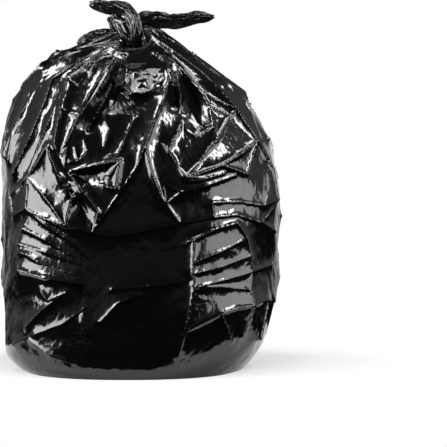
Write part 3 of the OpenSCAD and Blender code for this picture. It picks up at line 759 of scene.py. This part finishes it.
def film():
    """Points of the whole film, with its creases, wrinkles and rims."""
    aim, loose, gap, crest = sculpt()
    # The knot and the floor hold the film
    held = np.clip(smooth(1 - (DOWN - 6) / 30) + smooth(1 - UP / 14), 0, 1)
    shift = np.zeros(aim.shape)
    for step, slack, rounds, pull, ruffle, soft in RELAX_STAGES:
        rows = np.unique(np.append(np.arange(0, ROWS, step), ROWS - 1))
        cols = np.arange(0, COLUMNS, step)
        pick = np.ix_(rows, cols)
        goal = aim[pick]
        moved = relax(goal + shift[pick], goal, OUT[pick], slack * loose[pick], held[pick],
                      rounds, pull, RELAX_SEED + step, ruffle, soft)
        shift = moved - goal
        if step > 1:
            shift = finer(shift)
    pinch = np.clip(crest / RIM_CREST, *RIM_LIMITS) * np.exp(-gap / RIM_WIDTH) * (1 - held)
    fine = crumpled(*FINE_FACETS) * (1 - held) * (1 - np.exp(-gap / RIM_CLEAR))
    return aim + shift + OUT * (RIM * pinch + fine * np.clip(loose, 0, 1))[..., None]


# Pieces of the film

def mesh_object(name, verts, faces, uvs, normals=None):
    """A smooth-shaded piece from points in millimetres, with the film's lengths as its UVs."""
    mesh = bpy.data.meshes.new(name)
    mesh.from_pydata((np.asarray(verts) * MM).tolist(), [], faces)
    mesh.validate()
    layer = mesh.uv_layers.new(name="film")
    loops = np.empty(len(mesh.loops), int)
    mesh.loops.foreach_get("vertex_index", loops)
    layer.data.foreach_set("uv", (np.asarray(uvs)[loops] * MM).astype(np.float32).ravel())
    mesh.polygons.foreach_set("use_smooth", [True] * len(mesh.polygons))
    if normals is not None:
        mesh.normals_split_custom_set_from_vertices(normals.tolist())
    piece = bpy.data.objects.new(name, mesh)
    bpy.context.scene.collection.objects.link(piece)
    return piece


def ring_faces(n, m, closed=True):
    """Quads between m rings of n points, and a fan on each end (its points follow the rings)."""
    i = np.arange(n if closed else n - 1)
    k = (i + 1) % n
    faces = []
    for j in range(m - 1):
        quad = np.stack([j * n + i, j * n + k, (j + 1) * n + k, (j + 1) * n + i], -1)
        faces.extend(quad.tolist())
    faces.extend([[n * m, int(b), int(a)] for a, b in zip(i, k)])
    faces.extend([[n * m + 1, (m - 1) * n + int(a), (m - 1) * n + int(b)] for a, b in zip(i, k)])
    return faces


def film_piece(name, shape, first, last):
    """The film between two columns of the grid, shaded as one with its neighbour."""
    climb = np.gradient(shape, axis=0)
    across = np.roll(shape, -1, 1) - np.roll(shape, 1, 1)
    normals = unit(np.cross(across, climb))
    normals[0] = unit(normals[0] + [0, 0, -1])
    columns = np.arange(first, last + 1)
    pick = columns % COLUMNS
    middles = np.array([[-BASE_LEAN, 0, 0], shape[-1].mean(0)])
    verts = np.concatenate([shape[:, pick].reshape(-1, 3), middles])
    ends = np.array([[0, 0, -1.0], [0, 0, 1.0]])
    turned = AROUND[:, pick] + np.where(columns < 0, -360, 0)
    uvs = np.stack([turned * MM_PER_DEGREE, UP[:, pick]], -1).reshape(-1, 2)
    uvs = np.concatenate([uvs, [[0, 0], [0, FILM_TOP]]])
    return mesh_object(name, verts, ring_faces(len(pick), ROWS, False), uvs,
                       np.concatenate([normals[:, pick].reshape(-1, 3), ends]))


shape = film()
sack_front = film_piece("sack_front", shape, -COLUMNS // 4, COLUMNS // 4)
sack_back = film_piece("sack_back", shape, COLUMNS // 4, COLUMNS * 3 // 4)


# Knot and ears

KNOT_RISE = 5         # of the knot's middle over the neck
KNOT = np.array([-NECK_LEFT, 0, BODY_H + KNOT_RISE])
THIN_WAY = np.array([0, 1, 0.01])    # direction of a strand's thickness
STRAND_STEP = 0.05    # in rows of a path, to take its direction
DRIFT = 0.35          # how far pleats of a strand wander, in pleats
STREAKS = 0.045       # depth of fine streaks and of dents, as shares of the strand's size
DENTS = 0.05
TIP = 0.86            # where a ragged tip begins, as a share of the strand's length
FILM_ROUND = 90       # film round a strand, for the streaks of its material
FILM_ALONG = 22       # film along a row of its path


def strand(name, rows, turns, seed, around=144, along=170, pleats=11, depth=0.16, ragged=0.0):
    """Gathered film along a path. A row is x, y, z, half width and half thickness from the knot."""
    last = len(rows) - 1
    t = np.linspace(0, last, along)
    row = curve(rows, t)
    step = curve(rows, np.minimum(t + STRAND_STEP, last)) - curve(rows, np.maximum(t - STRAND_STEP, 0))
    ahead = unit(step[:, :3])
    thick = unit(THIN_WAY - (ahead @ THIN_WAY)[:, None] * ahead)
    wide = np.cross(thick, ahead)
    i = np.arange(around) / around
    angle = 2 * math.pi * (i[None, :] + turns * t[:, None] / last)

    # Pleats, smaller pleats between them, streaks and dents, as shares of the strand's size
    wander = band_noise(seed, (along, around), (60, 30)) * DRIFT
    pleat = np.abs(np.sin(math.pi * (pleats * i[None, :] + wander)))
    small = np.abs(np.sin(math.pi * (pleats * 2.0 * i[None, :] + 1.3 * wander + 0.3)))
    streak = np.abs(band_noise(seed + 1, (along, around), (70, 6)))
    size = 1 + depth * (0.6 - 1.5 * (1 - pleat) ** 0.8) + depth * 0.5 * (small - 0.6) - STREAKS * streak
    size = size * (1 + DENTS * band_noise(seed + 2, (along, around), (44, 60)))

    p = (row[:, None, :3] + (size * row[:, 3:4] * np.cos(angle))[..., None] * wide[:, None]
         + (size * row[:, 4:5] * np.sin(angle))[..., None] * thick[:, None])
    if ragged:
        tip = ramp(np.arange(along), along * TIP, along * (1 - TIP))[:, None]
        jag = ragged * tip * band_noise(seed + 3, (along, around), (400, 12))
        p += jag[..., None] * ahead[:, None]
    verts = np.concatenate([p.reshape(-1, 3), [p[0].mean(0)], [p[-1].mean(0)]]) + KNOT
    uv = np.stack(np.broadcast_arrays(i[None, :] * FILM_ROUND, t[:, None] * FILM_ALONG), -1)
    uv = np.concatenate([uv.reshape(-1, 2), [[0, 0], [0, 0]]])
    return mesh_object(name, verts, ring_faces(around, along), uv)


ear_left = strand("ear_left", [
    [17, -12, -26, 7, 7], [16, -16, -12, 10, 9], [15, -17, 4, 12, 10], [12, -15, 18, 13, 10.5],
    [2, -10, 31, 13, 10.5], [-14, -8, 36.5, 13, 10], [-29, -7, 38.5, 11.5, 9],
    [-42, -7, 41, 9.5, 7.5], [-52, -8, 43, 7.5, 5.5], [-57.5, -8, 44.5, 4, 3.2],
], 0.18, 31, pleats=7, depth=0.10, ragged=1.0)

ear_right = strand("ear_right", [
    [4, 8, 6, 8, 8], [16, 7, 15, 9, 8], [28, 6, 21, 11.5, 9], [42, 5, 21.5, 12.5, 9.5],
    [55, 4, 20, 14, 10], [71, 2, 17.6, 12.5, 10], [88, 0, 17.6, 11.5, 9.5], [104, -2, 21, 10, 8.5],
    [120, -5, 22.5, 9.8, 7.5], [133.5, -7, 22.3, 6.6, 5], [142, -8, 23.2, 2.2, 2],
], -0.12, 41, pleats=5, depth=0.15, ragged=1.6)

tuft = strand("knot_tuft", [
    [14, -8, -22, 7, 7], [7, -14, -14, 11, 9], [-3, -16, -4, 13, 9.5], [-12, -14, 7, 12.5, 7],
    [-18, -12, 16, 10, 4], [-20, -12, 20, 8, 2.5],
], 0.05, 61, around=180, along=110, pleats=11, depth=0.22, ragged=4.5)

wrap = strand("knot_wrap", [
    [6, 0, -24, 12, 12], [5, 0, -14, 19, 18], [4, 0, -2, 21, 19], [3, 0, 10, 19, 17],
    [3, 0, 20, 13, 12], [3, 0, 26, 6, 6],
], 0.16, 51, around=200, along=90, pleats=12, depth=0.16)

loop = strand("neck_loop", [
    [6, 6, -14, 8, 8], [-10, 4, -9, 9, 9], [-24, 2, -5, 9, 10], [-38, 0, -6, 10, 11],
    [-52, -2, -10, 11, 12], [-64, -3, -15, 10, 12], [-72, -3, -20, 8.5, 9], [-77, -3, -24, 5, 5],
], 0.1, 71, around=120, along=120, pleats=5, depth=0.12)

fold_right = strand("neck_fold_right", [
    [8, 4, -6, 7, 8], [22, 3, 2, 7, 8], [40, 2, 2, 6, 9], [58, 0, -5, 6, 10],
    [80, -2, -20, 6, 11], [102, -2, -36, 5, 11], [124, -2, -52, 3, 8],
], 0.08, 81, around=120, along=120, pleats=4, depth=0.12)


# Materials

def new_material(name):
    """A material with nodes."""
    mat = bpy.data.materials.new(name)
    mat.use_nodes = True
    return mat


def add_node(tree, kind, values=()):
    """A new shader node, with its inputs set by name."""
    node = tree.nodes.new("ShaderNode" + kind)
    for name, value in dict(values).items():
        node.inputs[name].default_value = value
    return node


def ranged(tree, value, ends, reach=(0.0, 1.0)):
    """A value taken from the range between two ends to another range, and held at its ends."""
    node = add_node(tree, "MapRange", {"From Min": ends[0], "From Max": ends[1],
                                       "To Min": reach[0], "To Max": reach[1]})
    tree.links.new(value, node.inputs["Value"])
    return node.outputs["Result"]


def combined(tree, operation, *values):
    """The outcome of a Math node for one or two values."""
    node = add_node(tree, "Math")
    node.operation = operation
    for value, socket in zip(values, node.inputs):
        tree.links.new(value, socket)
    return node.outputs["Value"]


def noise_texture(tree, coordinates, scale, detail, distortion=0.0):
    """Soft noise over the given coordinates."""
    node = add_node(tree, "TexNoise", {"Scale": scale, "Detail": detail, "Distortion": distortion})
    tree.links.new(coordinates, node.inputs["Vector"])
    return node.outputs["Fac"]


def bump(tree, height, distance, before=None):
    """Shading relief of a height, up to a distance in metres, on top of an earlier relief."""
    node = add_node(tree, "Bump", {"Strength": 0.4, "Distance": distance})
    tree.links.new(height, node.inputs["Height"])
    if before is not None:
        tree.links.new(before, node.inputs["Normal"])
    return node.outputs["Normal"]


def film_material():
    """Glossy black film with fine streaks along it and soft dents."""
    mat = new_material("black_film")
    tree = mat.node_tree
    link = tree.links.new
    shader = tree.nodes["Principled BSDF"]
    shader.inputs["IOR"].default_value = 1.52
    shader.inputs["Coat Weight"].default_value = 0.5
    shader.inputs["Coat Roughness"].default_value = 0.06
    uv = add_node(tree, "UVMap")
    uv.uv_map = "film"
    stretch = add_node(tree, "Mapping", {"Scale": (1.0, 0.22, 1.0)})
    link(uv.outputs["UV"], stretch.inputs["Vector"])
    streaks = noise_texture(tree, stretch.outputs["Vector"], 260, 4)
    grain = noise_texture(tree, add_node(tree, "TexCoord").outputs["Object"], 55, 5, 0.8)
    link(bump(tree, grain, 0.0016, bump(tree, streaks, 0.0006)), shader.inputs["Normal"])
    tone = add_node(tree, "ValToRGB")
    tone.color_ramp.elements[0].color = (0.002, 0.002, 0.0022, 1)
    tone.color_ramp.elements[1].color = (0.005, 0.005, 0.0055, 1)
    link(grain, tone.inputs["Fac"])
    link(tone.outputs["Color"], shader.inputs["Base Color"])
    link(ranged(tree, grain, (0.0, 1.0), (0.08, 0.18)), shader.inputs["Roughness"])
    return mat


film_mat = film_material()
for piece in (sack_front, sack_back, ear_left, ear_right, tuft, wrap, loop, fold_right):
    piece.data.materials.append(film_mat)
    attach(piece, "root")
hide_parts("bag")
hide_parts("bag")


# Floor, light and camera

FLOOR_RADIUS = 0.45
FLOOR_PLACE = (0, 0.1, 0)
FLOOR_SHAPE = (1, 0.7, 1)
FLOOR_FADE = (0.25, 0.44)    # distances between which the floor turns plain white
LIGHTS_AIM = Vector((0, 0, 0.3))
SENSOR = 36

# Soft lights: name, place, width, height, and how bright the face looks
SOFT_BOXES = [
    ("left_box", (-1.8, -0.77, 0.52), 1.2, 1.1, 7),
    ("left_strip", (-1.4, -0.9, 1.35), 0.32, 0.8, 20),
    ("right_box", (1.77, -0.84, 0.62), 1.54, 1.3, 3),
    ("right_strip", (1.4, -0.9, 1.35), 0.32, 0.8, 20),
    ("top_box", (0.1, -0.2, 1.9), 1.2, 0.36, 4),
    ("left_top", (-0.85, 0.12, 1.65), 0.4, 0.5, 12),
    ("right_top", (0.95, 0.12, 1.65), 0.4, 0.5, 12),
    ("top_strip", (0.1, -0.4, 1.9), 0.6, 0.12, 14),
]


def floor_material():
    """Pale matte floor; for the camera it turns plain white away from the sack."""
    mat = new_material("studio_floor")
    tree = mat.node_tree
    link = tree.links.new
    tree.nodes.clear()
    out = add_node(tree, "OutputMaterial")
    matte = add_node(tree, "BsdfDiffuse", {"Color": (0.86, 0.86, 0.86, 1)})
    white = add_node(tree, "Emission", {"Strength": 1.0})
    distance = add_node(tree, "VectorMath")
    distance.operation = "LENGTH"
    link(add_node(tree, "TexCoord").outputs["Object"], distance.inputs[0])
    fade = ranged(tree, distance.outputs["Value"], FLOOR_FADE, (0.3, 1.0))
    ray = add_node(tree, "LightPath")
    mix = add_node(tree, "MixShader")
    link(combined(tree, "MULTIPLY", fade, ray.outputs["Is Camera Ray"]), mix.inputs["Fac"])
    link(matte.outputs["BSDF"], mix.inputs[1])
    link(white.outputs["Emission"], mix.inputs[2])
    link(mix.outputs["Shader"], out.inputs["Surface"])
    return mat


def studio_world():
    """White for the camera; the film sees a dim room, grey at the sides, with a white wall behind."""
    world = bpy.data.worlds.new("studio")
    world.use_nodes = True
    tree = world.node_tree
    back = tree.nodes["Background"]
    split = add_node(tree, "SeparateXYZ")
    tree.links.new(add_node(tree, "TexCoord").outputs["Generated"], split.inputs["Vector"])
    x, y, z = (split.outputs[axis] for axis in "XYZ")
    behind = ranged(tree, y, (0.8, 1.0), (0.06, 1.0))
    above = ranged(tree, z, (-0.1, 0.05))
    overhead = ranged(tree, z, (0.1, 0.5), (1.0, 0.06))
    wall = combined(tree, "MULTIPLY", behind, combined(tree, "MULTIPLY", above, overhead))
    wings = ranged(tree, combined(tree, "ABSOLUTE", x), (0.25, 0.75), (0.0, 0.24))
    room = combined(tree, "MAXIMUM", wall, combined(tree, "MULTIPLY", wings, above))
    ray = add_node(tree, "LightPath")
    shown = combined(tree, "MAXIMUM", room, ray.outputs["Is Camera Ray"])
    tree.links.new(shown, back.inputs["Strength"])
    back.inputs["Color"].default_value = (1, 1, 1, 1)
    return world


def soft_box(name, place, wide, tall, glow):
    """A rectangular soft light that looks at the sack."""
    light = bpy.data.lights.new(name, "AREA")
    light.shape = "RECTANGLE"
    light.size, light.size_y = wide, tall
    light.energy = glow * math.pi * wide * tall
    lamp = bpy.data.objects.new(name, light)
    bpy.context.scene.collection.objects.link(lamp)
    lamp.location = place
    lamp.rotation_euler = (LIGHTS_AIM - Vector(place)).to_track_quat("-Z", "Y").to_euler()


def photo_camera():
    """The photograph's camera, level and looking straight back."""
    camera = bpy.data.cameras.new("camera")
    camera.sensor_width = SENSOR
    camera.lens = SENSOR * FOCAL_PX / FRAME_PX
    holder = bpy.data.objects.new("camera", camera)
    bpy.context.scene.collection.objects.link(holder)
    holder.location = [v * MM for v in CAMERA]
    holder.rotation_euler = (math.radians(90), 0, 0)
    return holder


bpy.ops.mesh.primitive_circle_add(vertices=128, radius=FLOOR_RADIUS, fill_type="NGON",
                                  location=FLOOR_PLACE)
floor = bpy.context.object
floor.scale = FLOOR_SHAPE
floor.name = "studio_floor"
floor.data.materials.append(floor_material())

for box in SOFT_BOXES:
    soft_box(*box)
bpy.context.scene.world = studio_world()
bpy.context.scene.camera = photo_camera()
bpy.context.scene.view_settings.view_transform = "Standard"
